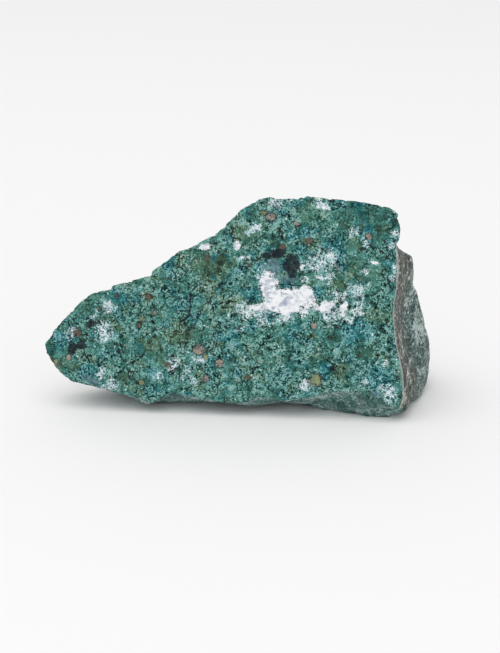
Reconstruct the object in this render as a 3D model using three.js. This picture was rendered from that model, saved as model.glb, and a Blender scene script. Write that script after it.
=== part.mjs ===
// A rough moss agate: one broken stone with a flat sawn face, resting on low feet.
// Millimetres, +Z up. The sawn face looks towards -Y and leans back a little. The stone stands on z = 0,
// and the origin is the middle of its footprint.

import * as THREE from "three";
import { ImprovedNoise } from "three/addons/math/ImprovedNoise.js";

// Sawn face: how far it leans back from upright, and how far its left end turns away.
const FACE_LEAN = THREE.MathUtils.degToRad(10);
const FACE_TURN = THREE.MathUtils.degToRad(6);

// Rim of the sawn face as [across, up the face], clockwise from the pointed left end.
const RIM = [
  [-30.5, 10.3], [-28.5, 13.2], [-24.7, 17.3], [-22.9, 18.8], [-19.9, 19.6], [-19.6, 20.1],
  [-14.0, 21.8], [-13.3, 22.7], [-9.3, 25.8], [-8.0, 26.2], [-3.5, 28.8], [0.0, 32.4],
  [2.8, 34.1], [4.4, 34.5], [5.6, 34.2], [8.3, 34.4], [10.2, 34.8], [12.1, 34.6],
  [17.9, 34.2], [22.7, 33.4], [23.8, 32.6], [24.2, 30.1], [24.1, 28.6], [23.6, 27.8],
  [24.0, 22.8], [23.5, 17.5], [23.9, 13.6], [25.1, 8.5], [25.5, 4.5], [25.0, 2.6],
  [23.1, 3.0], [20.3, 5.0], [14.6, 4.8], [11.0, 3.7], [7.1, 3.0], [3.2, 3.5],
  [1.6, 2.6], [-2.5, 2.4], [-6.5, 2.9], [-10.0, 3.6], [-13.2, 1.8], [-16.3, 2.7],
  [-22.5, 4.0], [-26.0, 4.6], [-28.4, 6.5], [-30.2, 9.4],
];
const RIM_STEP = 1.15;

// The heart of the stone, from where the whole rim is in sight, and the way straight out of its back.
const HEART = new THREE.Vector3(8, 8.5, 17);
const BACK = new THREE.Vector3(0, 1, 0);

// Flat breaks: a point on each, the way it faces, and how lumpy it is.
const BREAKS = [
  { name: "right side", at: [29.7, 11, 10.9], facing: [0.93, -0.36, 0.1], rough: 0.25 },
  { name: "right back", at: [30.2, 12.5, 15.9], facing: [0.43, 0.84, 0.33], rough: 0.4 },
  { name: "right heel", at: [31.4, 12.4, 2], facing: [0.8, 0.3, -0.5], rough: 0.5 },
  { name: "back", at: [0, 19, 10], facing: [-0.05, 0.95, 0.3], rough: 1 },
  { name: "back foot", at: [0, 19, 3], facing: [0, 0.75, -0.66], rough: 1 },
  { name: "top slope", at: [12, 4.6, 34], facing: [0.04, 0.87, 0.5], rough: 1 },
  { name: "upper left slope", at: [-11, 5.6, 25.2], facing: [-0.29, 0.81, 0.51], rough: 1 },
  { name: "left end", at: [-26, 5.4, 15.4], facing: [-0.68, 0.44, 0.59], rough: 0.8 },
  { name: "left back", at: [-18, 13, 8], facing: [-0.45, 0.88, 0.12], rough: 1 },
  { name: "tip underside", at: [-28.5, 5, 6.6], facing: [-0.75, 0.1, -0.65], rough: 0.5 },
  { name: "left underside", at: [-15.2, 5, 0.3], facing: [-0.35, -0.1, -0.93], rough: 0.6 },
  { name: "right foot", at: [22.9, -1.3, 0], facing: [0.3, -0.89, -0.35], rough: 0.3 },
];

// Shell-shaped hollows left by chips: the ball that fits each one, and how lumpy it is.
const HOLLOWS = [
  { name: "right side hollow", centre: [42.4, 0, 16], radius: 18, rough: 0.25 },
  { name: "right shoulder chip", centre: [28.8, 6.8, 29.6], radius: 6, rough: 0.25 },
  { name: "left undercut", centre: [-8, -12, -24.6], radius: 30.4, rough: 0.3 },
  { name: "arch under the face", centre: [8.5, -5, -9], radius: 13.2, rough: 0.3 },
  { name: "right instep", centre: [29.8, 1.6, -6.5], radius: 8.3, rough: 0.3 },
  { name: "right foot chamfer", centre: [17.3, -15.3, -3.4], radius: 16, rough: 0.3 },
  { name: "slope to the right foot", centre: [10.8, -16.3, -6.8], radius: 20, rough: 0.3 },
  { name: "belly", centre: [3, 11, -37], radius: 38, rough: 0.5 },
  { name: "top chip", centre: [14.4, 18.9, 28.6], radius: 11, rough: 0.5 },
  { name: "upper left chip", centre: [-14.1, 18, 24.8], radius: 12, rough: 0.5 },
  { name: "back chip", centre: [7.4, 30.2, 14.5], radius: 13, rough: 0.5 },
  { name: "right back chip", centre: [20.4, 26.7, 19.8], radius: 12, rough: 0.5 },
  { name: "left back chip", centre: [-22, 20.7, 9.1], radius: 10, rough: 0.5 },
  { name: "low back chip", centre: [-9, 26, 4], radius: 9, rough: 0.5 },
];

// Ridges between breaks are worn round by about this much.
const RIDGE_WEAR = 1.4;

// Lumps on the broken surfaces, as [spacing, height] from coarse to fine.
const LUMPS = [[8, 0.9], [3.8, 0.6], [2, 0.32]];

// Rows of facets from the rim to the middle of the back. Over the first share of them the surface turns from
// the rim to the back, and over a smaller share the rim's own shape dies away.
const ROWS = 29;
const TURN_SHARE = 0.62;
const RIM_FADE = 0.25;

// Each row is measured from a point this far from the heart towards the rim.
const CORE_SHARE = 0.6;

const AGATE = new THREE.MeshStandardMaterial({ color: 0x56796f, roughness: 0.72, metalness: 0 });

const noise = new ImprovedNoise();
const across = new THREE.Vector3(1, 0, 0);
const upright = new THREE.Vector3(0, 0, 1);

// A point of the sawn face, from its place across and up the face.
function onFace([u, v]) {
  return new THREE.Vector3(u, 0, v).applyAxisAngle(across, -FACE_LEAN).applyAxisAngle(upright, -FACE_TURN);
}

// The rim as evenly stepped points that keep its corners.
function rimPoints() {
  return RIM.flatMap((corner, i) => {
    const start = new THREE.Vector2(...corner);
    const end = new THREE.Vector2(...RIM[(i + 1) % RIM.length]);
    const steps = Math.max(1, Math.round(start.distanceTo(end) / RIM_STEP));
    return Array.from({ length: steps }, (_, k) => start.clone().lerp(end, k / steps).toArray());
  });
}

// How far along a ray a flat break lies.
function reachOfBreak({ at, facing }, ray) {
  const normal = new THREE.Vector3(...facing).normalize();
  const slope = normal.dot(ray.direction);
  return slope > 1e-3 ? normal.dot(new THREE.Vector3(...at).sub(ray.origin)) / slope : Infinity;
}

// How far along a ray a hollow begins.
function reachOfHollow({ centre, radius }, ray) {
  const toCentre = new THREE.Vector3(...centre).sub(ray.origin);
  const along = toCentre.dot(ray.direction);
  const missed = toCentre.lengthSq() - along * along;
  return along > 0 && missed < radius * radius ? along - Math.sqrt(radius * radius - missed) : Infinity;
}

// The smaller of two reaches, with the ridge between them worn round.
function wornMin(a, b) {
  const near = Math.max(RIDGE_WEAR - Math.abs(a - b), 0) / RIDGE_WEAR;
  return Math.min(a, b) - near * near * RIDGE_WEAR / 4;
}

// Height of the lumps at a point.
function lumps(p) {
  return LUMPS.reduce((sum, [spacing, height]) =>
    sum + height * noise.noise(p.x / spacing, p.y / spacing, p.z / spacing), 0);
}

// How far the broken surface reaches along a ray, before the floor cuts it.
function reach(ray) {
  const met = [
    ...BREAKS.map((flat) => ({ distance: reachOfBreak(flat, ray), rough: flat.rough })),
    ...HOLLOWS.map((hollow) => ({ distance: reachOfHollow(hollow, ray), rough: hollow.rough })),
  ].filter(({ distance }) => Number.isFinite(distance)).sort((a, b) => b.distance - a.distance);
  const smooth = met.map(({ distance }) => distance).reduce(wornMin);
  const nearness = met.map(({ distance }) => Math.exp((smooth - distance) / RIDGE_WEAR));
  const rough = met.reduce((sum, surface, i) => sum + surface.rough * nearness[i], 0) /
    nearness.reduce((sum, near) => sum + near, 0);
  return smooth + rough * lumps(ray.at(smooth, new THREE.Vector3()));
}

// The ray that finds the surface at a share of the way from a rim point to the middle of the back: it first
// turns from the rim to the back, then slides in to the heart.
function rayAt(rimPoint, share) {
  const origin = HEART.clone().lerp(rimPoint, CORE_SHARE);
  const outward = rimPoint.clone().sub(origin).normalize();
  const angle = outward.angleTo(BACK);
  const turned = Math.min(share / TURN_SHARE, 1) * angle;
  const direction = outward.multiplyScalar(Math.sin(angle - turned))
    .addScaledVector(BACK, Math.sin(turned)).normalize();
  return new THREE.Ray(origin.lerp(HEART, Math.max((share - TURN_SHARE) / (1 - TURN_SHARE), 0)), direction);
}

// The point where a ray leaves the stone: the broken surface, or the floor that the feet are worn flat by.
function surfacePoint(ray, distance) {
  const toFloor = ray.direction.z < 0 ? -ray.origin.z / ray.direction.z : Infinity;
  const point = ray.at(Math.min(distance, toFloor), new THREE.Vector3());
  point.z = Math.max(point.z, 0);
  return point;
}

// One column of the broken surface, from a rim point to the last row before the middle of the back.
function column(rimPoint) {
  const first = rayAt(rimPoint, 0);
  const misfit = first.origin.distanceTo(rimPoint) - reach(first);
  const rows = Array.from({ length: ROWS - 1 }, (_, k) => {
    const share = (k + 1) / ROWS;
    const ray = rayAt(rimPoint, share);
    const fade = Math.max(1 - share / RIM_FADE, 0) ** 2;
    return surfacePoint(ray, reach(ray) + misfit * fade);
  });
  return [rimPoint, ...rows];
}

// The columns with each point of the broken surface drawn halfway to the middle of its four neighbours.
// Points on the floor stay on it, so the feet keep a crisp edge.
function worn(columns) {
  return columns.map((points, c) => points.map((point, row) => {
    if (row === 0) return point;
    const before = columns[(c + columns.length - 1) % columns.length];
    const after = columns[(c + 1) % columns.length];
    const inward = points[Math.min(row + 1, ROWS - 1)];
    const middle = new THREE.Vector3();
    [before[row], after[row], points[row - 1], inward].forEach((near) => middle.addScaledVector(near, 0.25));
    if (point.z === 0) middle.z = 0;
    return point.clone().lerp(middle, 0.5);
  }));
}

// The closed stone: the flat sawn face, and the broken surface that runs from its rim to the back.
function stoneGeometry() {
  const outline = rimPoints();
  const columns = worn(outline.map((place) => column(onFace(place))));
  const middleOfBack = rayAt(onFace(outline[0]), 1);
  const vertices = [...columns.flat(), surfacePoint(middleOfBack, reach(middleOfBack))];
  const vertexAt = (c, row) => (row === ROWS ? vertices.length - 1 : (c % columns.length) * ROWS + row);

  const triangles = [];
  columns.forEach((_, c) => {
    for (let row = 0; row < ROWS; row++) {
      const [a, b] = [vertexAt(c, row), vertexAt(c + 1, row)];
      const [d, e] = [vertexAt(c, row + 1), vertexAt(c + 1, row + 1)];
      const leaning = vertices[a].distanceTo(vertices[e]) < vertices[b].distanceTo(vertices[d]);
      if (row === ROWS - 1) triangles.push([a, b, d]);
      else triangles.push(...(leaning ? [[a, b, e], [a, e, d]] : [[a, b, d], [b, e, d]]));
    }
  });
  const flat = outline.map(([u, v]) => new THREE.Vector2(u, v));
  THREE.ShapeUtils.triangulateShape(flat, []).forEach((corners) =>
    triangles.push(corners.map((c) => vertexAt(c, 0))));

  const geometry = new THREE.BufferGeometry().setFromPoints(vertices).setIndex(triangles.flat());
  geometry.computeBoundingBox();
  const middle = geometry.boundingBox.getCenter(new THREE.Vector3());
  geometry.translate(-middle.x, -middle.y, 0);
  geometry.computeVertexNormals();
  return geometry;
}

const stone = new THREE.Mesh(stoneGeometry(), AGATE);
stone.name = "stone";

const mossAgate = new THREE.Group();
mossAgate.add(stone);

export default mossAgate;
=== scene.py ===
"""A moss agate stone with one sawn face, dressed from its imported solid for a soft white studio."""

import logging
import math
from dataclasses import dataclass, field
from enum import Enum
from typing import Any, Callable, Mapping, Optional, Sequence, Union

import bmesh
import bpy
import numpy as np
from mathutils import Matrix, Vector, noise
from mathutils.geometry import delaunay_2d_cdt
from mathutils.kdtree import KDTree


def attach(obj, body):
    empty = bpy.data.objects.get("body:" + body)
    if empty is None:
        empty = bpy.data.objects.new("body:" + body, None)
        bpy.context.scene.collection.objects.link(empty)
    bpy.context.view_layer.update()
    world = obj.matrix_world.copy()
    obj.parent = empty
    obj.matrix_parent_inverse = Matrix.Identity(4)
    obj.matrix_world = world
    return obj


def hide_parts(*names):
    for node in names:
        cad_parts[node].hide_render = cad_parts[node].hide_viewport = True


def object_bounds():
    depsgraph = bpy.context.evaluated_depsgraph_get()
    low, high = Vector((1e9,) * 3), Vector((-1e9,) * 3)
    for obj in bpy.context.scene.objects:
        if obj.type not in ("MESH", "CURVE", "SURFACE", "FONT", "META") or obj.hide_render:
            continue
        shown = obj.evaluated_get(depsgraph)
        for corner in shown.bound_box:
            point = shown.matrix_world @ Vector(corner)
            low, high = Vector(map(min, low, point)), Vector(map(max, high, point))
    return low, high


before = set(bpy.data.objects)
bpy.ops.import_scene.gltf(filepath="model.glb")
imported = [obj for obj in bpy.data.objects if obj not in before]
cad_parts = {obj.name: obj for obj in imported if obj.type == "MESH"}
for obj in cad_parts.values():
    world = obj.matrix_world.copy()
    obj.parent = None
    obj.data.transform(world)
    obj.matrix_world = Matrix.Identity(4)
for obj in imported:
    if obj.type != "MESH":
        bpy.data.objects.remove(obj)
CAD_LOW, CAD_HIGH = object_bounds()

MM = 0.001
SEED_STEP = (17.3, 5.1, 9.7)
INSIDE_ONLY = 1
LOG = logging.getLogger("moss_agate")


@dataclass(frozen=True)
class Tone:
    """A colour as it looks on a screen, each part from 0 to 255."""

    red: float
    green: float
    blue: float

    @property
    def linear(self) -> tuple[float, float, float, float]:
        """The colour as the shader's sockets take it.

        Returns:
            Red, green and blue in linear light, and full cover.
        """
        parts = [part / 255 for part in (self.red, self.green, self.blue)]
        low = [part / 12.92 for part in parts]
        high = [((part + 0.055) / 1.055) ** 2.4 for part in parts]
        red, green, blue = (a if p <= 0.04045 else b for p, a, b in zip(parts, low, high))
        return red, green, blue, 1.0


class Wire:
    """A node's output on its way to other nodes, with the usual signs for its maths."""

    def __init__(self, graph: "Graph", socket: bpy.types.NodeSocket) -> None:
        """Holds one output socket of a graph.

        Args:
            graph: The graph that the socket's node is in.
            socket: The output socket.
        """
        self.graph = graph
        self.socket = socket

    def __add__(self, other: "Value") -> "Wire":
        """This value plus another."""
        return self.graph.math("ADD", self, other)

    def __radd__(self, other: "Value") -> "Wire":
        """Another value plus this one."""
        return self.graph.math("ADD", other, self)

    def __sub__(self, other: "Value") -> "Wire":
        """This value less another."""
        return self.graph.math("SUBTRACT", self, other)

    def __rsub__(self, other: "Value") -> "Wire":
        """Another value less this one."""
        return self.graph.math("SUBTRACT", other, self)

    def __mul__(self, other: "Value") -> "Wire":
        """This value times another."""
        return self.graph.math("MULTIPLY", self, other)

    def __rmul__(self, other: "Value") -> "Wire":
        """Another value times this one."""
        return self.graph.math("MULTIPLY", other, self)

    def most(self, other: "Value") -> "Wire":
        """The larger of this value and another."""
        return self.graph.math("MAXIMUM", self, other)

    def least(self, other: "Value") -> "Wire":
        """The smaller of this value and another."""
        return self.graph.math("MINIMUM", self, other)

    def rise(self, low: float, high: float) -> "Wire":
        """A smooth rise from 0 at low to 1 at high, or a fall where low is the larger.

        Args:
            low: The value that gives 0.
            high: The value that gives 1.

        Returns:
            The eased value.
        """
        ends = {"Value": self, "From Min": low, "From Max": high}
        return self.graph.node("ShaderNodeMapRange", {"interpolation_type": "SMOOTHSTEP"}, ends)

    def thread(self, width: float) -> "Wire":
        """1 where the value is a half, falling to 0 at this width either side."""
        return self.graph.math("ABSOLUTE", self - 0.5).rise(width, 0.0)

    def out(self, name: Union[str, int]) -> "Wire":
        """Another output of the same node."""
        return Wire(self.graph, self.socket.node.outputs[name])


Value = Union[Wire, float, int, str, bool, Sequence[float], bpy.types.ID]


@dataclass
class Graph:
    """A node tree under construction, for a material or for a mesh."""

    tree: bpy.types.NodeTree

    def node(
        self,
        kind: str,
        settings: Optional[Mapping[str, Any]] = None,
        inputs: Optional[Mapping[Union[str, int], Value]] = None,
        output: Union[str, int] = 0,
    ) -> Optional[Wire]:
        """Adds a node.

        Args:
            kind: The node's type.
            settings: The node's own settings, set before its sockets.
            inputs: The value or the wire for each socket, by name or number.
            output: The output to hand on.

        Returns:
            The wire of that output, or None where the node is the last of its tree.
        """
        made = self.tree.nodes.new(kind)
        for name, setting in (settings or {}).items():
            if name == "stops":
                self.set_stops(made.color_ramp, setting)
            else:
                setattr(made, name, setting)
        for name, value in (inputs or {}).items():
            if isinstance(value, Wire):
                self.tree.links.new(value.socket, made.inputs[name])
            else:
                made.inputs[name].default_value = value
        return Wire(self, made.outputs[output]) if len(made.outputs) else None

    def set_stops(self, ramp: bpy.types.ColorRamp, stops: Sequence[tuple[float, "Tone"]]) -> None:
        """Sets a ramp's stops.

        Args:
            ramp: The ramp of a new node.
            stops: The place and the colour of each stop, from the lowest.
        """
        for place, _ in stops[1:-1]:
            ramp.elements.new(place)
        for element, (place, tone) in zip(ramp.elements, stops):
            element.position, element.color = place, tone.linear

    def ramp(self, value: Wire, stops: Sequence[tuple[float, "Tone"]]) -> Wire:
        """The colour that a ramp gives for a value."""
        return self.node("ShaderNodeValToRGB", {"stops": stops}, {0: value})

    def math(self, operation: str, *values: Value) -> Wire:
        """Adds one step of maths on values."""
        return self.node("ShaderNodeMath", {"operation": operation}, dict(enumerate(values)))

    def vector(self, operation: str, *values: Value) -> Wire:
        """Adds one step of maths on vectors."""
        return self.node("ShaderNodeVectorMath", {"operation": operation}, dict(enumerate(values)))

    def scaled(self, vector: Wire, size: Wire) -> Wire:
        """A vector times a value."""
        return self.node("ShaderNodeVectorMath", {"operation": "SCALE"}, {0: vector, "Scale": size})

    def mix(self, under: Union[Wire, Tone], over: Union[Wire, Tone], share: Value,
            blend: str = "MIX") -> Wire:
        """Lays one colour over another.

        Args:
            under: The colour at share 0.
            over: The colour at share 1.
            share: How much of the upper colour shows.
            blend: The way that the two mix.

        Returns:
            The mixed colour.
        """
        under, over = (c.linear if isinstance(c, Tone) else c for c in (under, over))
        settings = {"data_type": "RGBA", "blend_type": blend}
        return self.node("ShaderNodeMix", settings, {0: share, 6: under, 7: over}, 2)

    def noise(self, place: Wire, size: float, detail: float = 2.0, seed: int = 0,
              rough: float = 0.55) -> Wire:
        """Adds cloudy noise.

        Args:
            place: The point that it is read at, in millimetres.
            size: The size of its clouds, in millimetres.
            detail: How many finer layers it has.
            seed: Which of many such noises it is.
            rough: How strong each finer layer is beside the one before.

        Returns:
            The noise, from 0 to 1.
        """
        moved = self.vector("ADD", place, tuple(part * seed for part in SEED_STEP)) if seed else place
        inputs = {"Vector": moved, "Scale": 1 / size, "Detail": detail, "Roughness": rough}
        return self.node("ShaderNodeTexNoise", {}, inputs)

    def cells(self, place: Wire, size: float, feature: str = "F1", output: str = "Distance") -> Wire:
        """Adds a net of uneven cells.

        Args:
            place: The point that it is read at, in millimetres.
            size: The size of a cell, in millimetres.
            feature: Which distance is measured.
            output: The output to hand on.

        Returns:
            The distance, in cells, or another output of the node.
        """
        return self.node("ShaderNodeTexVoronoi", {"feature": feature},
                         {"Vector": place, "Scale": 1 / size}, output)


class Mineral(Enum):
    """What a marking shows: a mineral, a tint of the moss or its holes. The value names its attribute."""

    QUARTZ = "quartz"
    FROST = "frost"
    INK = "ink"
    SLATE = "slate"
    TEAL = "teal"
    LEAF = "leaf"
    OLIVE = "olive"
    SHADE = "shade"
    HOLED = "holed"
    RUST = "rust"
    SAND = "sand"
    OCHRE = "ochre"


@dataclass(frozen=True)
class Marking:
    """One oval patch on the sawn face or behind it, in millimetres from the face's own corner."""

    across: float
    up: float
    half_width: float
    half_height: float
    turn: float = 0.0
    deep: float = 0.0

    def nearness(self, spots: np.ndarray) -> np.ndarray:
        """How near points are to the patch's middle.

        Args:
            spots: The points as rows of across, depth and up, in millimetres.

        Returns:
            1 at the middle, 0 on the patch's edge and less outside it.
        """
        sideways, upwards = spots[:, 0] - self.across, spots[:, 2] - self.up
        cosine, sine = math.cos(math.radians(self.turn)), math.sin(math.radians(self.turn))
        along = (sideways * cosine + upwards * sine) / self.half_width
        athwart = (upwards * cosine - sideways * sine) / self.half_height
        inwards = (spots[:, 1] + self.deep) / max(self.half_width, self.half_height)
        return 1 - np.sqrt(along**2 + athwart**2 + inwards**2)


def ovals(*rows: tuple[float, ...]) -> list[Marking]:
    """Markings from rows of their values in order, where turn and depth may be left off."""
    return [Marking(*row) for row in rows]


MARKINGS: dict[Mineral, list[Marking]] = {
    Mineral.QUARTZ: ovals(
        # The large patch: its body, the horn on its left, its right shoulder and its left wing.
        (7.5, 18.5, 3.5, 1.8, 5), (4.5, 20.5, 1.2, 2), (4.5, 21.5, 1.5, 0.7), (10, 20, 0.9, 1.2),
        (2.5, 17.5, 1, 0.4),
        # Two clumps on its right, and three lone flecks.
        (13.5, 18, 1, 0.8, 20), (16, 18, 0.5, 0.8, -25), (20.5, 25, 0.7, 0.2, -10), (-0.5, 27, 0.5, 0.6),
        (-5.5, 26.5, 0.7, 0.4, 20),
    ),
    Mineral.FROST: ovals(
        # Right of the dark spots.
        (12, 24.5, 1.7, 1.5), (14, 25.5, 0.8, 1.4), (12, 22.5, 0.9, 0.5), (10, 22, 0.9, 0.5),
        (13.5, 22.5, 1.1, 0.7, 30), (9.5, 24, 0.9, 0.6, 20),
        # Right of the large quartz patch.
        (18, 20.5, 1.5, 1.2, 25), (15.5, 19.5, 1.5, 0.8), (18.5, 19, 1, 0.9), (15, 17, 1.5, 0.8),
        (14, 16.5, 1.2, 1.2), (18, 17.5, 0.9, 0.7), (17, 16, 0.9, 0.6), (19, 23.5, 0.9, 0.6),
        # Left of it and below it.
        (1.5, 16.5, 1.8, 1.4), (3.5, 15.5, 1.5, 0.8), (7, 16, 1.8, 0.6), (0.5, 14, 0.9, 0.7),
        (3.5, 22, 1.1, 0.9),
        # Near the top.
        (5.5, 33.5, 1.2, 0.6), (12.5, 33.5, 1.4, 0.6, -10), (2, 29.5, 1.4, 0.6, 30),
        (0.5, 25, 1.1, 0.5, 20), (17, 29.5, 0.8, 0.8), (19, 28, 0.4, 0.7, 20),
        # Down the right rim and along the bottom.
        (23.5, 29.5, 0.6, 0.6), (23, 27.5, 0.5, 1.2), (23.5, 23.5, 0.5, 1.1), (22.5, 9.5, 0.5, 0.4),
        (23.5, 5, 1.4, 1.3), (19.5, 6.5, 0.6, 0.5), (10.5, 5.5, 1.2, 1.2), (-6, 9, 1.2, 0.6, 20),
        (-7, 5.5, 0.9, 0.6), (-8, 7, 0.6, 1.3, -20), (-10, 8, 0.9, 0.8), (-12.5, 6, 0.9, 0.8),
        # At the left end.
        (-20, 4.5, 1.6, 0.8, 20), (-21.5, 6, 0.9, 1), (-26, 12, 0.9, 0.9), (-21, 13, 1.1, 1.6),
        (-20, 12.5, 1.3, 0.6, -10), (-22.5, 15, 0.8, 0.6), (-20.5, 16.5, 1.3, 1.1),
        # Pale flecks on the right side.
        (27.5, 12.5, 1.5, 2, 0, 11.5), (27, 14.5, 0.6, 1.2, 0, 11), (26, 8, 0.5, 0.7, 0, 3),
        (26, 20, 0.6, 1.6, 0, 11), (25.5, 23, 0.6, 0.8, 0, 8),
    ),
    Mineral.INK: ovals(
        # Over the large quartz patch, and small ones on the right.
        (6, 26, 1.2, 0.8), (8, 24, 1.1, 1.5), (4, 25.5, 0.8, 0.4, -10), (3.5, 20.5, 0.4, 0.9),
        (18.5, 27, 0.6, 0.3), (14.5, 8.5, 0.4, 0.4),
        # At the left end.
        (-26, 10, 0.7, 0.9, -10), (-24.5, 10.5, 0.8, 0.6), (-23, 14, 1, 0.6, 20),
        # A crooked crack left of the middle.
        (-7, 20, 0.9, 0.15, 45), (-7.5, 18.5, 0.9, 0.15, 90), (-7.5, 17, 1, 0.15, 80),
        (-8, 15.5, 0.9, 0.15, 45),
    ),
    Mineral.SLATE: ovals(
        (5, 23.5, 1.2, 1.5), (7.5, 22, 1.4, 0.5), (-23, 5, 1.3, 0.5, -25), (21, 4.5, 1.2, 0.5),
    ),
    Mineral.TEAL: ovals(
        # Round the large quartz patch and the dark spots.
        (6.5, 24, 0.6, 1.1), (3.5, 23.5, 1.4, 1.2), (2, 19.5, 1.4, 1.4), (7.5, 21, 1.6, 0.9),
        (12, 20, 1.2, 1.2), (4.5, 16, 1.2, 0.9), (2, 14.5, 1.1, 0.9),
        # The rest of the tall end.
        (15, 26.5, 0.9, 2), (13.5, 27.5, 0.9, 0.8), (19.5, 30, 0.9, 1.1), (15.5, 24, 0.9, 0.8),
        (23, 28.5, 0.7, 0.6), (18, 14.5, 2.7, 1.9), (13.5, 8, 1.2, 1.7), (22, 7, 2.1, 2.2),
        # The left end.
        (-23.5, 6.5, 1.7, 1.3), (-18.5, 18, 1.6, 0.9),
    ),
    Mineral.LEAF: ovals(
        (-22.5, 10.5, 1.3, 1.4), (-24.5, 16, 1.6, 1.3, 40), (10, 32.5, 2, 2.1), (17, 27.5, 1.1, 0.9),
        (20.5, 23, 1.2, 1.4), (19.5, 11, 1.1, 0.9),
    ),
    Mineral.OLIVE: ovals(
        (-4, 24, 3.1, 2.6), (-4, 21, 2.8, 2.3), (-1, 18, 2.3, 1.7), (0.5, 28.5, 2.1, 1.8),
        (10.5, 28, 1.5, 1.8), (15, 21.5, 1.7, 0.8), (15.5, 8, 1.7, 1.6), (-14, 18.5, 1.4, 1.2),
        (-13.5, 11, 2.2, 1.6), (-9, 13, 2.2, 1.9), (-18, 5.5, 0.9, 0.8), (-25.5, 7, 1.3, 0.8),
    ),
    Mineral.SHADE: ovals(
        (18.5, 31.5, 5.5, 2.6), (-4, 24, 2.5, 1.8), (14, 12.5, 1.4, 1.2), (19.5, 11, 1.1, 0.9),
        (-14, 11, 2.2, 1.6), (-18, 5.5, 1, 1), (-25.5, 7, 1.3, 0.8), (-30, 9.5, 1.3, 2.2, 20),
    ),
    Mineral.HOLED: ovals(
        (18, 32.5, 6.5, 2.5), (21, 12.5, 4, 7), (12.5, 11, 6, 5.5), (-4, 23, 4.5, 4), (3.5, 30, 3.5, 2.5),
        (7, 28, 3, 1.2),
    ),
    Mineral.RUST: ovals(
        (-25, 12.5, 0.6, 0.6), (-21.5, 16.5, 0.3, 0.3), (-19, 18.5, 0.35, 0.35), (-15.5, 14, 0.35, 0.4),
        (-14, 18.5, 0.45, 0.45), (-11, 8, 0.35, 0.4), (-5, 25, 0.4, 0.5, 20), (1.5, 24, 0.35, 0.3),
        (1.5, 6.5, 0.35, 0.35), (6.5, 27, 0.5, 0.4), (10.5, 28, 0.45, 0.4),
    ),
    Mineral.SAND: ovals(
        (-26.5, 8.5, 0.4, 0.45, -20), (-13, 16, 0.35, 0.4), (-6, 10.5, 0.9, 0.75, 15), (-5, 6, 0.5, 0.55),
        (-3, 8.5, 0.6, 0.65), (4.5, 31.5, 0.75, 0.65), (8.5, 30.5, 0.5, 0.25, -35), (11.5, 15, 0.4, 0.5),
        (15, 24, 0.2, 0.45), (19.5, 29, 0.55, 0.4, -40),
    ),
    Mineral.OCHRE: ovals(
        (12, 6.5, 0.85, 0.95), (3.5, 32, 0.5, 0.4), (-5, 9.5, 0.25, 0.45), (-15, 5, 0.4, 0.4),
        (-15, 15, 0.45, 0.45), (-28.5, 7.5, 0.4, 0.65),
    ),
}


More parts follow.
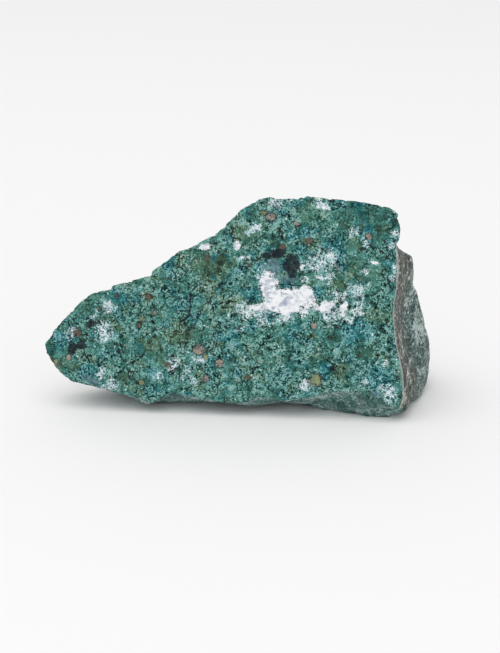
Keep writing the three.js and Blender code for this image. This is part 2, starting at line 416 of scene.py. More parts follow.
@dataclass(frozen=True)
class MossGrowth:
    """How the moss grew, in small cells and lumps, read alike by the surface and by its colour."""

    cell: float = 0.9
    fine_cell: float = 0.34
    side_cell: float = 0.55
    lump: float = 1.5
    crack: float = 2.6
    scallop: float = 6.0
    bend: float = 0.42
    bend_size: float = 0.6

    def bent(self, graph: Graph, place: Wire) -> Wire:
        """The point with the moss's own waviness added.

        Args:
            graph: The tree that it is read in.
            place: The point on the unworn surface, in millimetres.

        Returns:
            The moved point.
        """
        swirl = graph.noise(place, self.bend_size, 2.0, 17, 0.6).out("Color")
        return graph.vector("MULTIPLY_ADD", swirl, (self.bend,) * 3, place)

    def chances(self, graph: Graph, bent: Wire, cell: float) -> tuple[Wire, Wire, Wire, Wire]:
        """The cells' middles, and three numbers drawn for each cell.

        Args:
            graph: The tree that it is read in.
            bent: The wavy point, in millimetres.
            cell: The size of a cell, in millimetres.

        Returns:
            The distance to the cell's middle, in cells, and the three draws, from 0 to 1.
        """
        middle = graph.cells(bent, cell)
        draws = graph.node("ShaderNodeSeparateXYZ", {}, {0: middle.out("Color")})
        return middle, draws, draws.out("Y"), draws.out("Z")

    def holes(self, graph: Graph, bent: Wire, middle: Wire, draw: Wire, holed: Wire) -> Wire:
        """Where the moss leaves small dark holes and the gaps between its lumps.

        Args:
            graph: The tree that it is read in.
            bent: The wavy point, in millimetres.
            middle: The distance to the cell's middle, in cells.
            draw: The cell's first draw.
            holed: How near the parts with most holes are.

        Returns:
            1 in the middle of a hole and 0 on the moss between.
        """
        open_part = holed.rise(-0.4, 0.2)
        round_holes = middle.rise(0.4, 0.12) * (draw + open_part * 0.25).rise(0.84, 0.9)
        gap = graph.cells(bent, self.lump, "DISTANCE_TO_EDGE").rise(0.1, 0.02)
        gaps = gap * graph.noise(bent, 1.2, 2.0, 18, 0.7).rise(0.47, 0.57) * (1 - open_part * 0.5)
        crack = graph.cells(bent, self.crack, "DISTANCE_TO_EDGE").rise(0.04, 0.01)
        cracks = crack * graph.noise(bent, 2.4, 2.0, 26, 0.7).rise(0.52, 0.58)
        torn = graph.noise(bent, 0.5, 2.0, 19, 0.6).rise(0.39, 0.32)
        return round_holes.most(gaps * 0.9).most(cracks).most(torn)

    def threads(self, graph: Graph, bent: Wire, holed: Wire) -> Wire:
        """The fine pale threads of the moss, and the walls between its holes.

        Args:
            graph: The tree that it is read in.
            bent: The wavy point, in millimetres.
            holed: How near the parts with most holes are.

        Returns:
            1 along the middle of a strong thread and 0 beside it.
        """
        wall = graph.cells(bent, self.cell, "DISTANCE_TO_EDGE").rise(0.13, 0.03)
        loose = graph.noise(bent, 0.9, 2.0, 15, 0.6).thread(0.022)
        fine = graph.noise(bent, 0.5, 2.0, 16, 0.6).thread(0.035)
        strong = graph.noise(bent, 1.3, 2.0, 20, 0.7)
        wall = wall * (strong + holed.rise(-0.4, 0.2) * 0.12).rise(0.46, 0.6)
        return wall.most(loose * strong.rise(0.62, 0.45)).most(fine * 0.7)

    def rind(self, graph: Graph, place: Wire) -> Wire:
        """Where the outer rind is left on the broken sides.

        Args:
            graph: The tree that it is read in.
            place: The point on the unworn surface, in millimetres.

        Returns:
            1 on the rind and 0 off it.
        """
        return graph.noise(place, 8.0, 6.0, 13, 0.75).rise(0.5, 0.66)


Stops = tuple[tuple[float, Tone], ...]


@dataclass(frozen=True)
class MossAgateFinish:
    """The stone's finish: moss on the sawn face, glassy and dull breaks on the other sides."""

    growth: MossGrowth = field(default_factory=MossGrowth)
    moss: Stops = (
        (0.0, Tone(12, 28, 30)), (0.2, Tone(32, 66, 62)), (0.38, Tone(52, 101, 92)),
        (0.52, Tone(68, 124, 113)), (0.68, Tone(96, 155, 146)), (0.82, Tone(154, 194, 190)),
        (1.0, Tone(228, 237, 239)),
    )
    sea: Stops = (
        (0.0, Tone(8, 30, 36)), (0.2, Tone(14, 62, 68)), (0.38, Tone(20, 94, 100)),
        (0.52, Tone(36, 116, 121)), (0.68, Tone(80, 150, 154)), (0.82, Tone(148, 192, 197)),
        (1.0, Tone(228, 238, 242)),
    )
    olive: Stops = (
        (0.0, Tone(22, 28, 20)), (0.2, Tone(48, 62, 45)), (0.38, Tone(72, 97, 72)),
        (0.52, Tone(88, 117, 90)), (0.68, Tone(114, 146, 122)), (0.82, Tone(160, 186, 170)),
        (1.0, Tone(226, 232, 226)),
    )
    grey_break: Stops = (
        (0.0, Tone(18, 26, 25)), (0.3, Tone(46, 57, 53)), (0.55, Tone(76, 86, 81)),
        (0.8, Tone(116, 122, 116)), (1.0, Tone(186, 189, 186)),
    )
    green_break: Stops = (
        (0.0, Tone(14, 34, 34)), (0.4, Tone(46, 80, 76)), (0.65, Tone(76, 113, 109)),
        (1.0, Tone(176, 196, 193)),
    )
    leaf: Tone = Tone(66, 116, 94)
    quartz: Tone = Tone(244, 246, 249)
    quartz_vein: Tone = Tone(158, 168, 188)
    ink: Tone = Tone(24, 33, 41)
    ink_pale: Tone = Tone(56, 72, 80)
    slate: Tone = Tone(66, 98, 106)
    slate_pale: Tone = Tone(124, 158, 166)
    frost: Tone = Tone(176, 208, 212)
    rust: Tone = Tone(112, 92, 72)
    sand: Tone = Tone(176, 160, 148)
    ochre: Tone = Tone(156, 164, 122)
    hole_brown: Tone = Tone(76, 58, 38)
    # A pale tone for the painted glow of light through the glassy break's thin rim.
    painted_edge_glow: Tone = Tone(196, 197, 192)
    rind: Stops = (
        (0.0, Tone(34, 32, 26)), (0.4, Tone(84, 80, 66)), (0.7, Tone(126, 120, 100)),
        (1.0, Tone(186, 180, 162)),
    )
    specular: float = 0.12
    stone_ior: float = 1.54
    dull: float = 0.62
    glassy_polish: float = 0.16
    under_polish: float = 0.12
    quartz_polish: float = 0.1
    grit_strength: float = 0.6
    grit_height: float = 0.06
    # How strongly the painted glow along the thin rim shows.
    painted_edge_glow_share: float = 0.65

    def material(self) -> bpy.types.Material:
        """Builds the material.

        Returns:
            The material, which reads the mesh's own attributes.
        """
        made = bpy.data.materials.new("moss_agate")
        made.use_nodes = True
        made.node_tree.nodes.clear()
        g = Graph(made.node_tree)
        place = g.node("ShaderNodeAttribute", {"attribute_name": "place"}, {}, "Vector")
        marks = {mineral: self.attribute(g, mineral.value) for mineral in Mineral}
        sawn, glassy, under, rim = (self.attribute(g, n) for n in ("sawn", "glassy", "under", "rim"))
        face, face_rough, grit = self.sawn_face(g, place, marks)
        side = self.glassy_break(g, place, marks[Mineral.FROST])
        below = self.underside(g, place)
        back = self.rough_back(g, place)
        body = g.mix(g.mix(back, below, under), side, glassy)
        # Painted light: a pale glow painted along the rim on the glassy break, standing in for light
        # shining through its thin edge.
        painted_glow_line = glassy.rise(0.3, 0.8) * rim.rise(0.8, 0.2)
        body = g.mix(body, self.painted_edge_glow, painted_glow_line * self.painted_edge_glow_share)
        face_share = sawn.rise(0.2, 0.8)
        colour = g.mix(body, face, face_share)
        body_rough = self.dull - self.glassy_polish * glassy - self.under_polish * under
        rough = body_rough + (face_rough - body_rough) * face_share
        relief = {"Strength": self.grit_strength, "Distance": self.grit_height * MM, "Height": grit}
        bump = g.node("ShaderNodeBump", {}, relief, "Normal")
        shader = g.node("ShaderNodeBsdfPrincipled", {}, {
            "Base Color": colour, "Roughness": rough, "Normal": bump,
            "Specular IOR Level": self.specular, "IOR": self.stone_ior,
        })
        g.node("ShaderNodeOutputMaterial", {}, {"Surface": shader})
        return made

    def attribute(self, g: Graph, name: str) -> Wire:
        """One of the mesh's own values."""
        return g.node("ShaderNodeAttribute", {"attribute_name": name}, {}, "Fac")

    def sawn_face(self, g: Graph, place: Wire, marks: dict[Mineral, Wire]) -> tuple[Wire, Wire, Wire]:
        """The moss, its holes and the minerals that show on the sawn face.

        Args:
            g: The material's graph.
            place: The point on the unworn surface, in millimetres.
            marks: How near each mineral's markings are.

        Returns:
            The colour, the roughness and the fine relief.
        """
        bent = self.growth.bent(g, place)
        ragged = g.noise(bent, 1.0, 4.0, 3, 0.8) - 0.5
        sprawl = g.noise(bent, 2.2, 3.0, 28, 0.65) - 0.5
        grit = g.noise(place, 0.24, 1.0, 4)
        fibre = g.noise(bent, 0.8, 4.0, 5, 0.7)
        spread = marks[Mineral.FROST] + sprawl * 4.0 + ragged * 2.2
        frost = spread.rise(-0.5, 0.7)
        colour = self.mossy(g, place, bent, marks, ragged, grit, frost)
        snow = g.mix(self.frost, self.quartz, fibre.rise(0.4, 0.55))
        strands = g.noise(bent, 1.5, 3.0, 32, 0.65).thread(0.06).most(
            g.noise(bent, 0.9, 2.0, 33, 0.6).thread(0.06))
        drifts = spread.rise(0.9, 1.2) * (grit + fibre).rise(0.92, 1.08)
        web = (strands + spread * 0.4).rise(0.9, 1.05)
        colour = g.mix(colour, snow, web.most(drifts) * 0.88)
        slate = g.mix(self.slate, self.slate_pale, fibre.rise(0.4, 0.66))
        colour = g.mix(colour, slate, (marks[Mineral.SLATE] + ragged * 1.8).rise(-0.5, 0.35) * 0.88)
        ink = g.mix(self.ink, self.ink_pale, fibre.rise(0.46, 0.7))
        colour = g.mix(colour, ink, (marks[Mineral.INK] + ragged * 2.6).rise(-0.2, 0.12) * 0.94)
        wisps = g.noise(g.vector("MULTIPLY", bent, (0.8, 1.0, 1.2)), 1.1, 5.0, 14, 0.75)
        white = g.mix(self.quartz, self.quartz_vein, wisps.rise(0.45, 0.64) * 0.9)
        edge = marks[Mineral.QUARTZ] + sprawl * 1.8 + ragged * 2.6 + (strands - 0.4) * 0.3
        quartz = edge.rise(-0.16, 0.06)
        colour = g.mix(colour, white, quartz)
        for mineral, tone in ((Mineral.RUST, self.rust), (Mineral.SAND, self.sand),
                              (Mineral.OCHRE, self.ochre)):
            grain = marks[mineral] + ragged * 2.4
            colour = g.mix(colour, self.ink, grain.rise(-0.6, -0.1) * 0.6)
            grain_tone = g.mix(self.ink_pale, tone, (grit + ragged * 2.0).rise(0.1, 0.6))
            colour = g.mix(colour, grain_tone, grain.rise(-0.15, 0.35) * 0.8)
        return colour, self.dull - quartz * self.quartz_polish, grit

    def mossy(self, g: Graph, place: Wire, bent: Wire, marks: dict[Mineral, Wire], ragged: Wire,
              grit: Wire, frost: Wire) -> Wire:
        """The moss itself, with its threads, its holes and its changes of green.

        Args:
            g: The material's graph.
            place: The point on the unworn surface, in millimetres.
            bent: The wavy point, in millimetres.
            marks: How near each mineral's markings are.
            ragged: Noise that frays the edges of the markings.
            grit: The finest noise.
            frost: Where the moss is frosted white.

        Returns:
            The colour.
        """
        grain = g.noise(place, 2.6, 4.0, 1, 0.8) - 0.5
        drift = g.noise(place, 5.0, 3.0, 2, 0.7) - 0.5
        middle, draw, tone_draw, hue_draw = self.growth.chances(g, bent, self.growth.cell)
        speck, fine_draw, fine_tone, _ = self.growth.chances(g, bent, self.growth.fine_cell)
        _, _, lump_tone, lump_hue = self.growth.chances(g, bent, self.growth.lump)
        open_part = marks[Mineral.HOLED].rise(-0.4, 0.2)
        holes = self.growth.holes(g, bent, middle, draw, marks[Mineral.HOLED])
        threads = self.growth.threads(g, bent, marks[Mineral.HOLED])
        shade = (marks[Mineral.SHADE] + ragged * 1.6).rise(-0.4, 0.4)
        leaf = (marks[Mineral.LEAF] + ragged * 2.0).rise(-0.3, 0.5)
        busy = g.noise(place, 2.2, 3.0, 27, 0.7).rise(0.38, 0.58) * 0.9 + 0.4
        busy = busy * (1 - leaf * 0.4) * (1 - shade * 0.4)
        light = 0.49 + grain * 1.15 * (1 - leaf * 0.6) - shade * 0.08 - open_part * 0.06
        light = light + (lump_tone - 0.5) * 0.12
        light = light + ((grit - 0.5) * 1.6 + (tone_draw - 0.5) * 0.12 + (fine_tone - 0.5) * 0.32) * busy
        light = light + (threads * 0.34 - holes * 0.42) * busy
        light = light.least(0.77) + speck.rise(0.5, 0.2) * fine_draw.rise(0.92, 0.95) * 0.3
        light = light + frost * (threads * 0.3 + 0.05)
        hue = drift * 2.4 + (lump_hue - 0.5) * 0.7 + (hue_draw - 0.5) * 0.4 + ragged * 0.6
        sea = hue.rise(0.1, 0.6).most((marks[Mineral.TEAL] + ragged * 2.0).rise(-0.3, 0.4))
        sea = sea.most(frost * 0.7) * 0.9
        olive = hue.rise(-0.1, -0.6).most((marks[Mineral.OLIVE] + ragged * 3.0).rise(-0.2, 0.4)) * 0.7
        colour = g.mix(g.ramp(light, self.moss), g.ramp(light, self.olive), olive * (1 - frost))
        colour = g.mix(colour, g.ramp(light, self.sea), sea)
        colour = g.mix(colour, self.leaf, leaf * 0.3)
        return g.mix(colour, self.hole_brown, holes * hue_draw.rise(0.74, 0.8) * 0.45)

    def glassy_break(self, g: Graph, place: Wire, flecks: Wire) -> Wire:
        """The right-hand break: grey-brown agate with upright streaks and pale flecks, and painted shade
        at its foot.

        Args:
            g: The material's graph.
            place: The point on the unworn surface, in millimetres.
            flecks: How near the pale flecks are.

        Returns:
            The colour.
        """
        streaks = g.noise(g.vector("MULTIPLY", place, (1.0, 0.4, 0.2)), 0.7, 4.0, 6, 0.75) - 0.5
        stretched = g.vector("MULTIPLY", place, (1.0, 0.4, 0.7))
        mottle = g.noise(stretched, 1.4, 5.0, 7, 0.85) - 0.5
        grit = g.noise(stretched, 0.26, 2.0, 8) - 0.5
        middle, draw, tone_draw, _ = self.growth.chances(g, stretched, self.growth.side_cell)
        parts = g.node("ShaderNodeSeparateXYZ", {}, {0: place})
        # Painted shade: low darkens the break and turns it greener towards its foot, where it is undercut.
        low = (parts.out("Z") + mottle * 4.0).rise(4.0, 1.5)
        outer = (parts.out("Y") + mottle * 16).rise(-4.5, -8.5).most(low)
        spots = (flecks + mottle * 3.0).rise(-0.5, 0.5)
        specks = middle.rise(0.45, 0.2) * draw.rise(0.84, 0.88)
        strokes = g.noise(g.vector("MULTIPLY", place, (1.0, 0.5, 0.3)), 0.9, 3.0, 30, 0.7).thread(0.03)
        light = 0.38 + mottle * 1.1 + grit * 2.0 + (tone_draw - 0.5) * 0.2 + specks * 0.45
        # The painted shade at the foot takes light off through low.
        light = light - strokes * 0.22 - low * 0.2
        streaked = light + (mottle + streaks * 1.4).rise(-0.15, 0.25) * 0.42 + spots * 0.3
        brown = g.noise(stretched, 3.0, 3.0, 34, 0.7).rise(0.46, 0.58) * 0.35
        inner = g.mix(g.ramp(streaked, self.grey_break), g.ramp(streaked, self.rind), brown)
        clouded = light + (mottle + streaks * 0.5).rise(-0.15, 0.25) * 0.45 + spots * 0.35 + 0.1
        return g.mix(inner, g.ramp(clouded, self.green_break), outer * 0.7)

    def underside(self, g: Graph, place: Wire) -> Wire:
        """The dark grey-green break below the sawn face, with a fine pale speckle.

        Args:
            g: The material's graph.
            place: The point on the unworn surface, in millimetres.

        Returns:
            The colour.
        """
        speckle = g.noise(place, 0.3, 2.0, 9, 0.7) - 0.5
        cloud = g.noise(place, 2.0, 4.0, 10, 0.7) - 0.5
        middle, draw, _, _ = self.growth.chances(g, place, self.growth.fine_cell)
        specks = middle.rise(0.4, 0.15) * draw.rise(0.86, 0.92)
        light = 0.66 + speckle * 1.4 + cloud * 1.6 + specks * 0.4
        return g.ramp(light, self.green_break)

    def rough_back(self, g: Graph, place: Wire) -> Wire:
        """The dull breaks at the back and on top, with some of the outer rind left on and painted shade in
        their bowls.

        Args:
            g: The material's graph.
            place: The point on the unworn surface, in millimetres.

        Returns:
            The colour.
        """
        bent = self.growth.bent(g, place)
        cloud = g.noise(place, 3.2, 5.0, 11, 0.8) - 0.5
        speckle = g.noise(place, 0.4, 3.0, 12, 0.75) - 0.5
        _, _, tone_draw, _ = self.growth.chances(g, bent, self.growth.lump)
        gaps = g.cells(bent, self.growth.lump, "DISTANCE_TO_EDGE").rise(0.12, 0.02)
        # Painted shade and light: the scallops darken the bowls that the skin raises and lighten their
        # ridges.
        scallops = g.cells(bent, self.growth.scallop) - 0.45
        light = 0.45 + cloud * 1.5 + speckle * 1.8 + (tone_draw - 0.5) * 0.16 - gaps * 0.14
        light = light + scallops * 0.3 + g.noise(bent, 9.0, 3.0, 31, 0.6).thread(0.012) * 0.3
        mossy = g.noise(place, 6.0, 4.0, 29, 0.7).rise(0.45, 0.6)
        colour = g.mix(g.ramp(light, self.green_break), g.ramp(light, self.moss), mossy * 0.7)
        return g.mix(colour, g.ramp(light, self.rind), self.growth.rind(g, place) * 0.6)


def tree_of(points: Sequence[Vector]) -> KDTree:
    """Sorts points so that the nearest one to a place is quickly found.

    Args:
        points: The points.

    Returns:
        The tree, with the points numbered in their order.
    """
    tree = KDTree(len(points))
    for number, point in enumerate(points):
        tree.insert(point, number)
    tree.balance()
    return tree


@dataclass
class Stone:
    """The stone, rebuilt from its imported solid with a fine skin. Its sizes are in millimetres."""

    node: str = "stone"
    body: str = "root"
    slot: str = "moss_agate"
    lean: float = math.radians(10)
    turn: float = math.radians(6)
    # Where the sawn face's own across and up start, in the frame and level with the feet.
    corner: Vector = field(default_factory=lambda: CAD_LOW + Vector((30.14, 2.16, 0)) * MM)
    glassy_facing: Vector = field(default_factory=lambda: Vector((0.90, -0.42, 0.1)))
    # How squarely a break has to face its way where its look or its calm starts, and where it is full.
    glassy_turn: tuple[float, float] = (0.4, 0.85)
    glassy_calm: tuple[float, float] = (0.4, 0.8)
    under_turn: tuple[float, float] = (0.2, 0.5)
    # Where the glassy break starts, along the length from the frame's middle.
    glassy_from: float = 16.0
    # How close points are that count as one, as touching and as level with the sawn face.
    weld_gap: float = 0.002
    touch_gap: float = 0.02
    level_gap: float = 0.01
    # The fine mesh, short in its edges at the rim and longer away from it.
    face_step: float = 0.18
    break_step: float = 0.5
    step_growth: float = 0.12
    split_over: float = 1.4
    splittings: int = 8
    smoothings: int = 5
    smoothing: float = 0.5
    steadyings: int = 40
    # The net of the sawn face, shaken a little off its lattice and kept clear of the rim, in steps.
    net_seed: int = 1
    net_wave: float = 7.0
    net_shake: float = 0.2
    net_clear: float = 0.6
    net_weld: float = 1e-5
    # The skin's relief, and the height over the floor by which it is full.
    pit_depth: float = 0.22
    thread_height: float = 0.06
    wave_height: float = 0.45
    lump_height: float = 0.3
    chip_depth: float = 0.35
    rim_wear: float = 0.04
    foot_calm: float = 3.0
    foot_chips: float = 0.8
    growth: MossGrowth = field(default_factory=MossGrowth)

    def __post_init__(self) -> None:
        """Sets the sawn face's own directions."""
        sine, cosine = math.sin(self.turn), math.cos(self.turn)
        rise, stand = math.sin(self.lean), math.cos(self.lean)
        self.across = Vector((cosine, -sine, 0))
        self.up = Vector((sine * rise, cosine * rise, stand))
        self.outward = self.across.cross(self.up)

    def build(self) -> bpy.types.Object:
        """Makes the stone's fine mesh.

        Returns:
            The stone's object, with every value that its finish reads.
        """
        mesh = bpy.data.meshes.new("moss_agate_stone")
        bm = bmesh.new()
        bm.from_mesh(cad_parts[self.node].data)
        bmesh.ops.remove_doubles(bm, verts=bm.verts, dist=self.weld_gap * MM)
        self.open_face(bm)
        self.refine_breaks(bm)
        self.fill_face(bm)
        bm.normal_update()
        bm.to_mesh(mesh)
        bm.free()
        self.write_values(mesh)
        stone = bpy.data.objects.new("moss_agate_stone", mesh)
        bpy.context.scene.collection.objects.link(stone)
        return stone

    def depth(self, point: Vector) -> float:
        """How far a point stands out of the sawn face, in metres."""
        return (point - self.corner).dot(self.outward)

    def open_face(self, bm: bmesh.types.BMesh) -> None:
        """Takes the sawn face's few large faces off.

        Args:
            bm: The stone's mesh.
        """
        gap = self.touch_gap * MM
        flat = [f for f in bm.faces if all(abs(self.depth(v.co)) < gap for v in f.verts)]
        bmesh.ops.delete(bm, geom=flat, context="FACES")

    def rim_tree(self, bm: bmesh.types.BMesh) -> KDTree:
        """The points of the open rim, close together, for measuring distances to it.

        Args:
            bm: The stone's mesh, with its sawn face open.

        Returns:
            The tree of these points.
        """
        points = []
        for edge in (e for e in bm.edges if e.is_boundary):
            start, end = (v.co for v in edge.verts)
            parts = max(1, round((end - start).length / (self.face_step * MM)))
            points += [start.lerp(end, i / parts) for i in range(parts)]
        return tree_of(points)

    def refine_breaks(self, bm: bmesh.types.BMesh) -> None:
        """Splits the broken sides finely near the rim and coarsely far from it, then wears their facets.

        Args:
            bm: The stone's mesh, with its sawn face open.
        """
        rim = self.rim_tree(bm)
        for _ in range(self.splittings):
            long = []
            for edge in bm.edges:
                middle = (edge.verts[0].co + edge.verts[1].co) / 2
                away = rim.find(middle)[2] / MM
                step = min(self.break_step, self.face_step + self.step_growth * away)
                if edge.calc_length() > self.split_over * step * MM:
                    long.append(edge)
            if not long:
                break
            bmesh.ops.subdivide_edges(bm, edges=long, cuts=1)
            bmesh.ops.triangulate(bm, faces=[f for f in bm.faces if len(f.verts) > 3],
                                  quad_method="SHORT_EDGE")
        free = [v for v in bm.verts if not v.is_boundary and v.co.z > self.touch_gap * MM]
        for _ in range(self.smoothings):
            bmesh.ops.smooth_vert(bm, verts=free, factor=self.smoothing, use_axis_x=True, use_axis_y=True,
                                  use_axis_z=True)

    def rim_loop(self, bm: bmesh.types.BMesh) -> list[bmesh.types.BMVert]:
        """The rim's vertices in order.

        Args:
            bm: The stone's mesh, with its sawn face open.

        Returns:
            The vertices, once round.
        """
        first = next(e for e in bm.edges if e.is_boundary)
        loop, edge = [first.verts[0], first.verts[1]], first
        while True:
            edge = next(e for e in loop[-1].link_edges if e.is_boundary and e is not edge)
            following = edge.other_vert(loop[-1])
            if following is loop[0]:
                return loop
            loop.append(following)

    def flat(self, point: Vector) -> Vector:
        """A point's place across and up the sawn face, in millimetres."""
        away = (point - self.corner) / MM
        return Vector((away.dot(self.across), away.dot(self.up)))

    def solid(self, spot: Vector) -> Vector:
        """The point of the sawn face at a place across and up it."""
        return self.corner + (self.across * spot.x + self.up * spot.y) * MM

    def fill_face(self, bm: bmesh.types.BMesh) -> None:
        """Fills the rim with a fine even net of triangles.

        Args:
            bm: The stone's mesh, with its sawn face open.
        """
        loop = self.rim_loop(bm)
        rim = [self.flat(v.co) for v in loop]
        spots = rim + self.net(rim)
        edges = [(i, (i + 1) % len(rim)) for i in range(len(rim))]
        found, _, faces, origins, _, _ = delaunay_2d_cdt(spots, edges, [], INSIDE_ONLY, self.net_weld)
        verts = []
        for spot, origin in zip(found, origins):
            on_rim = [i for i in origin if i < len(rim)]
            verts.append(loop[on_rim[0]] if on_rim else bm.verts.new(self.solid(spot)))
        for face in faces:
            corners = [verts[i] for i in face]
            a, b, c = (v.co for v in corners)
            if (b - a).cross(c - a).dot(self.outward) < 0:
                corners.reverse()
            bm.faces.new(corners)

    def net(self, rim: list[Vector]) -> list[Vector]:
        """The net's inner points, a little off a regular lattice.

        Args:
            rim: The rim's places on the face, in millimetres.

        Returns:
            The points inside the rim.
        """
        noise.seed_set(self.net_seed)
        tree = tree_of([spot.to_3d() for spot in rim])
        low, high = min(p.y for p in rim), max(p.y for p in rim)
        row_step = self.face_step * math.sqrt(0.75)
        spots = []
        for row in range(int((high - low) / row_step) + 1):
            level = low + (row + 0.5) * row_step
            crossings = sorted(
                a.x + (b.x - a.x) * (level - a.y) / (b.y - a.y)
                for a, b in zip(rim, rim[1:] + rim[:1]) if (a.y > level) != (b.y > level)
            )
            for left, right in zip(crossings[::2], crossings[1::2]):
                column = math.ceil(left / self.face_step)
                while (place := (column + 0.5 * (row % 2)) * self.face_step) < right:
                    column += 1
                    spot = Vector((place, level))
                    shake = noise.noise_vector(spot.to_3d() * self.net_wave).to_2d()
                    spot += shake * self.net_shake * self.face_step
                    clear = tree.find(spot.to_3d())[2] > self.net_clear * self.face_step
                    if left < spot.x < right and clear:
                        spots.append(spot)
        return spots

    def write_values(self, mesh: bpy.types.Mesh) -> None:
        """Writes what the skin and the finish read at each vertex.

        Args:
            mesh: The stone's mesh, before its skin is raised.
        """
        count = len(mesh.vertices)
        points, normals = np.empty(count * 3), np.empty(count * 3)
        mesh.vertices.foreach_get("co", points)
        mesh.vertices.foreach_get("normal", normals)
        points, normals = points.reshape(-1, 3), normals.reshape(-1, 3)
        away = (points - np.array(self.corner)) / MM
        spots = away @ np.array([self.across, self.outward, self.up]).T
        on_face = np.abs(spots[:, 1]) < self.level_gap
        rim, rim_points = self.nearest_rim(mesh, on_face)
        tall_end = points[:, 0] > self.glassy_from * MM
        values = {
            "sawn": np.where(on_face, np.where(rim < self.touch_gap, 0.5, 1.0), 0.0),
            "rim": rim,
            "glassy": self.ease(normals @ self.glassy_facing, *self.glassy_turn) * tall_end,
            "under": self.ease(-normals[:, 2], *self.under_turn) * ~on_face,
        }
        for mineral, markings in MARKINGS.items():
            values[mineral.value] = np.max([m.nearness(spots) for m in markings], axis=0).clip(-1, 1)
        for name, value in values.items():
            attribute = mesh.attributes.new(name, "FLOAT", "POINT")
            attribute.data.foreach_set("value", value.astype(np.float32))
        steady = self.steady_normals(mesh, normals, on_face)
        for name, vectors in (("place", spots), ("push", steady), ("rim_push", normals[rim_points])):
            attribute = mesh.attributes.new(name, "FLOAT_VECTOR", "POINT")
            attribute.data.foreach_set("vector", vectors.astype(np.float32).ravel())

    def steady_normals(self, mesh: bpy.types.Mesh, normals: np.ndarray, on_face: np.ndarray) -> np.ndarray:
        """The normals evened out over the breaks, so that lumps don't cross each other at ridges.

        Args:
            mesh: The stone's mesh.
            normals: The mesh's own normals.
            on_face: Which vertices lie on the sawn face or its rim.

        Returns:
            The evened normals.
        """
        count = len(normals)
        ends = np.empty(len(mesh.edges) * 2, int)
        mesh.edges.foreach_get("vertices", ends)
        first, second = ends.reshape(-1, 2).T
        steady = normals.copy()
        for _ in range(self.steadyings):
            steady[on_face] = self.outward
            total = np.empty_like(steady)
            for axis in range(3):
                ahead = np.bincount(first, steady[second, axis], count)
                total[:, axis] = ahead + np.bincount(second, steady[first, axis], count)
            steady = total / np.linalg.norm(total, axis=1, keepdims=True)
        steady[on_face] = self.outward
        return steady

    def ease(self, value: np.ndarray, low: float, high: float) -> np.ndarray:
        """A smooth rise from 0 at low to 1 at high."""
        share = ((value - low) / (high - low)).clip(0, 1)
        return share * share * (3 - 2 * share)

    def nearest_rim(self, mesh: bpy.types.Mesh, on_face: np.ndarray) -> tuple[np.ndarray, np.ndarray]:
        """Finds the point of the sawn face's rim that is nearest to each vertex.

        Args:
            mesh: The stone's mesh.
            on_face: Which vertices lie on the sawn face or its rim.

        Returns:
            The distances, in millimetres, and the numbers of the rim's vertices.
        """
        corners = np.empty(len(mesh.loops), int)
        mesh.loops.foreach_get("vertex_index", corners)
        triangles = corners.reshape(-1, 3)
        inner = on_face[triangles].all(axis=1)
        rim = sorted(set(triangles[inner].ravel()) & set(triangles[~inner].ravel()))
        tree = tree_of([mesh.vertices[i].co for i in rim])
        found = [tree.find(v.co) for v in mesh.vertices]
        return np.array([away / MM for _, _, away in found]), np.array([rim[i] for _, i, _ in found])

    def skin_tree(self) -> bpy.types.GeometryNodeTree:
        """The nodes that raise the skin: pits in the moss, chips on the rim and lumps on the breaks.

        Returns:
            The tree, with its sizes as named inputs.
        """
        tree = bpy.data.node_groups.new("stone_skin", "GeometryNodeTree")
        sockets = (("Geometry", "NodeSocketGeometry"), ("Pit Depth", "NodeSocketFloat"),
                   ("Lump Height", "NodeSocketFloat"), ("Chip Depth", "NodeSocketFloat"),
                   ("Material", "NodeSocketMaterial"))
        for name, kind in sockets:
            tree.interface.new_socket(name, in_out="INPUT", socket_type=kind)
        tree.interface.new_socket("Geometry", in_out="OUTPUT", socket_type="NodeSocketGeometry")
        g = Graph(tree)
        entry = g.node("NodeGroupInput")

        def named(name: str, kind: str = "FLOAT") -> Wire:
            """One of the mesh's own values."""
            return g.node("GeometryNodeInputNamedAttribute", {"data_type": kind}, {"Name": name})

        place = named("place", "FLOAT_VECTOR")
        sawn, rim, push = named("sawn"), named("rim"), named("push", "FLOAT_VECTOR")
        height = self.pits(g, place, rim, sawn, named, entry.out("Pit Depth"))
        height = height + self.lumps(g, place, rim, sawn, push, entry.out("Lump Height"))
        chips = self.chips(g, place, rim, entry.out("Chip Depth"))
        position = g.node("GeometryNodeInputPosition")
        level = g.node("ShaderNodeSeparateXYZ", {}, {0: position}, "Z")
        height = height * level.rise(0.0, self.foot_calm * MM) * MM
        chips = chips * level.rise(0.0, self.foot_chips * MM) * MM
        offset = g.vector("SUBTRACT", g.scaled(push, height),
                          g.scaled(named("rim_push", "FLOAT_VECTOR"), chips))
        skin = g.node("GeometryNodeSetPosition", {}, {0: entry.out("Geometry"), "Offset": offset})
        # Nothing goes below the floor. Sideways the limit is a metre away, out of the stone's reach.
        settled = g.vector("MAXIMUM", position, (-1.0, -1.0, 0.0))
        skin = g.node("GeometryNodeSetPosition", {}, {0: skin, "Position": settled})
        skin = g.node("GeometryNodeSetShadeSmooth", {}, {0: skin})
        skin = g.node("GeometryNodeRealizeInstances", {}, {0: skin})
        skin = g.node("GeometryNodeSetMaterial", {}, {0: skin, "Material": entry.out("Material")})
        g.node("NodeGroupOutput", {}, {0: skin})
        return tree

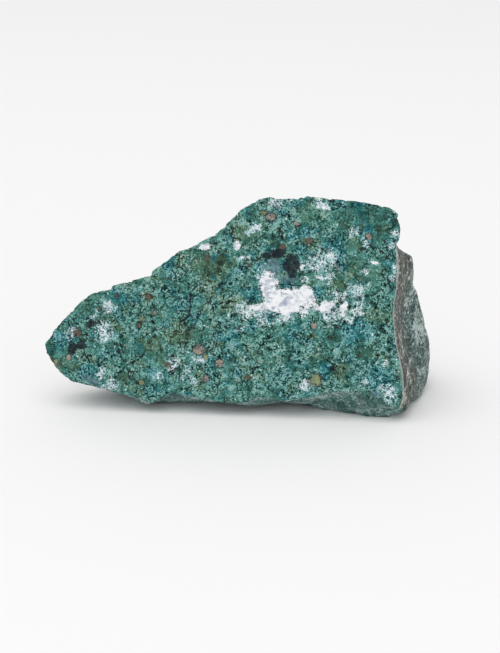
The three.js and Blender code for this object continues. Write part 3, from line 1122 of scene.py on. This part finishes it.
    def pits(self, g: Graph, place: Wire, rim: Wire, sawn: Wire, named: Callable[..., Wire],
             depth: Wire) -> Wire:
        """The small holes and the slight unevenness of the sawn face.

        Args:
            g: The skin's graph.
            place: The point on the unworn surface, in millimetres.
            rim: The distance to the sawn face's rim, in millimetres.
            sawn: Where the sawn face is.
            named: Reads one of the mesh's own values.
            depth: How deep a hole goes, in millimetres.

        Returns:
            The height, in millimetres.
        """
        bent = self.growth.bent(g, place)
        holed = named(Mineral.HOLED.value)
        middle, draw, _, _ = self.growth.chances(g, bent, self.growth.cell)
        holes = self.growth.holes(g, bent, middle, draw, holed)
        threads = self.growth.threads(g, bent, holed)
        hard = named(Mineral.QUARTZ.value).rise(-0.3, 0.1).most(named(Mineral.LEAF.value).rise(0.0, 0.4))
        wave = g.noise(place, 0.7, 2.0, 21) - 0.5
        height = (1 - hard) * (threads * self.thread_height - holes * depth) + wave * self.wave_height
        return sawn * height * rim.rise(0.0, 0.7)

    def lumps(self, g: Graph, place: Wire, rim: Wire, sawn: Wire, push: Wire, height: Wire) -> Wire:
        """The lumps of the broken sides, slight where the break is glassy.

        Args:
            g: The skin's graph.
            place: The point on the unworn surface, in millimetres.
            rim: The distance to the sawn face's rim, in millimetres.
            sawn: Where the sawn face is.
            push: The direction that the surface is raised in.
            height: How high a lump stands, in millimetres.

        Returns:
            The height, in millimetres.
        """
        scallops = (g.cells(self.growth.bent(g, place), self.growth.scallop) - 0.5) * 6.0
        coarse = (g.noise(place, 2.2, 3.0, 22) - 0.5) * 4.0 + self.growth.rind(g, place) * 0.5
        small = (g.noise(place, 1.0, 3.0, 23) - 0.5) * 2.4
        flutes = (g.noise(g.vector("MULTIPLY", place, (1.0, 0.5, 0.25)), 1.2, 3.0, 24) - 0.5) * 1.2
        facing = g.node("ShaderNodeVectorMath", {"operation": "DOT_PRODUCT"},
                        {0: push, 1: self.glassy_facing}, "Value")
        glassy = facing.rise(*self.glassy_calm)
        rough = (coarse + small) * (1 - 0.7 * glassy) + flutes * glassy
        rough = rough + scallops * (1 - glassy) * rim.rise(0.5, 4.0)
        return rough * height * (1 - sawn) * rim.rise(0.0, 1.4)

    def chips(self, g: Graph, place: Wire, rim: Wire, depth: Wire) -> Wire:
        """The small chips broken out along the rim.

        Args:
            g: The skin's graph.
            place: The point on the unworn surface, in millimetres.
            rim: The distance to the sawn face's rim, in millimetres.
            depth: How deep a chip goes, in millimetres.

        Returns:
            The depth, in millimetres.
        """
        bites = g.noise(place, 0.9, 3.0, 25).rise(0.45, 0.75)
        return rim.rise(0.7, 0.0) * (bites * depth + self.rim_wear)

    def dress(self, stone: bpy.types.Object, finish: MossAgateFinish) -> None:
        """Raises the stone's skin, gives it its finish and sets it in the frame.

        Args:
            stone: The stone's object.
            finish: What it is made of.
        """
        tree = self.skin_tree()
        skin = stone.modifiers.new("stone_skin", "NODES")
        skin.node_group = tree
        chosen = {"Pit Depth": self.pit_depth, "Lump Height": self.lump_height,
                  "Chip Depth": self.chip_depth, "Material": finish.material()}
        for item in tree.interface.items_tree:
            if item.in_out == "INPUT" and item.name in chosen:
                skin[item.identifier] = chosen[item.name]
        graph = bpy.context.evaluated_depsgraph_get()
        evaluated = stone.evaluated_get(graph)
        raised = bpy.data.meshes.new_from_object(evaluated, preserve_all_data_layers=True, depsgraph=graph)
        stone.modifiers.remove(skin)
        stone.data = raised
        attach(stone, self.body)
        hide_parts(self.node)


@dataclass
class Studio:
    """The pale floor, the soft light and the camera, in metres, with the lens in millimetres."""

    floor_half: float = 1.5
    floor_tone: Tone = Tone(246, 245, 245)
    floor_rough: float = 0.9
    floor_specular: float = 0.1
    camera_from_low: Vector = field(default_factory=lambda: Vector((32.15, -230.61, 102.63)) * MM)
    look_down: float = math.radians(20.6)
    lens: float = 90.41
    sensor: float = 36.0
    near_clip: float = 0.01
    sky: float = 0.76
    lamp_at: Vector = field(default_factory=lambda: Vector((-0.15, -0.3, 1.0)))
    lamp_size: float = 1.2
    lamp_power: float = 4.4

    def build(self) -> None:
        """Makes the floor, the lights and the camera."""
        self.floor()
        self.light()
        self.camera()

    def floor(self) -> None:
        """Lays the floor."""
        half = self.floor_half
        mesh = bpy.data.meshes.new("floor")
        mesh.from_pydata([(-half, -half, 0), (half, -half, 0), (half, half, 0), (-half, half, 0)], [],
                         [(0, 1, 2, 3)])
        made = bpy.data.materials.new("floor")
        made.use_nodes = True
        shader = made.node_tree.nodes["Principled BSDF"]
        shader.inputs["Base Color"].default_value = self.floor_tone.linear
        shader.inputs["Roughness"].default_value = self.floor_rough
        shader.inputs["Specular IOR Level"].default_value = self.floor_specular
        mesh.materials.append(made)
        floor = bpy.data.objects.new("floor", mesh)
        bpy.context.scene.collection.objects.link(floor)

    def light(self) -> None:
        """Hangs a wide soft light over the stone and fills the room with even light."""
        scene = bpy.context.scene
        scene.view_settings.view_transform = "Standard"
        world = bpy.data.worlds.new("studio")
        world.use_nodes = True
        sky = world.node_tree.nodes["Background"]
        sky.inputs["Color"].default_value = (1, 1, 1, 1)
        sky.inputs["Strength"].default_value = self.sky
        scene.world = world
        lamp = bpy.data.lights.new("soft_light", "AREA")
        lamp.shape = "DISK"
        lamp.size = self.lamp_size
        lamp.energy = self.lamp_power
        hung = bpy.data.objects.new("soft_light", lamp)
        hung.location = self.lamp_at
        hung.rotation_mode = "QUATERNION"
        hung.rotation_quaternion = (-self.lamp_at).to_track_quat("-Z", "Y")
        scene.collection.objects.link(hung)

    def camera(self) -> None:
        """Sets the camera up."""
        data = bpy.data.cameras.new("camera")
        data.lens, data.sensor_width, data.clip_start = self.lens, self.sensor, self.near_clip
        camera = bpy.data.objects.new("camera", data)
        camera.location = CAD_LOW + self.camera_from_low
        camera.rotation_euler = (math.pi / 2 - self.look_down, 0, 0)
        bpy.context.scene.collection.objects.link(camera)
        bpy.context.scene.camera = camera


def main() -> None:
    """Builds the stone and its studio."""
    logging.basicConfig(level=logging.INFO, format="%(message)s")
    Studio().build()
    maker = Stone()
    stone = maker.build()
    maker.dress(stone, MossAgateFinish())
    LOG.info("%s: %d triangles", stone.name, len(stone.data.polygons))


if __name__ == "__main__":
    main()
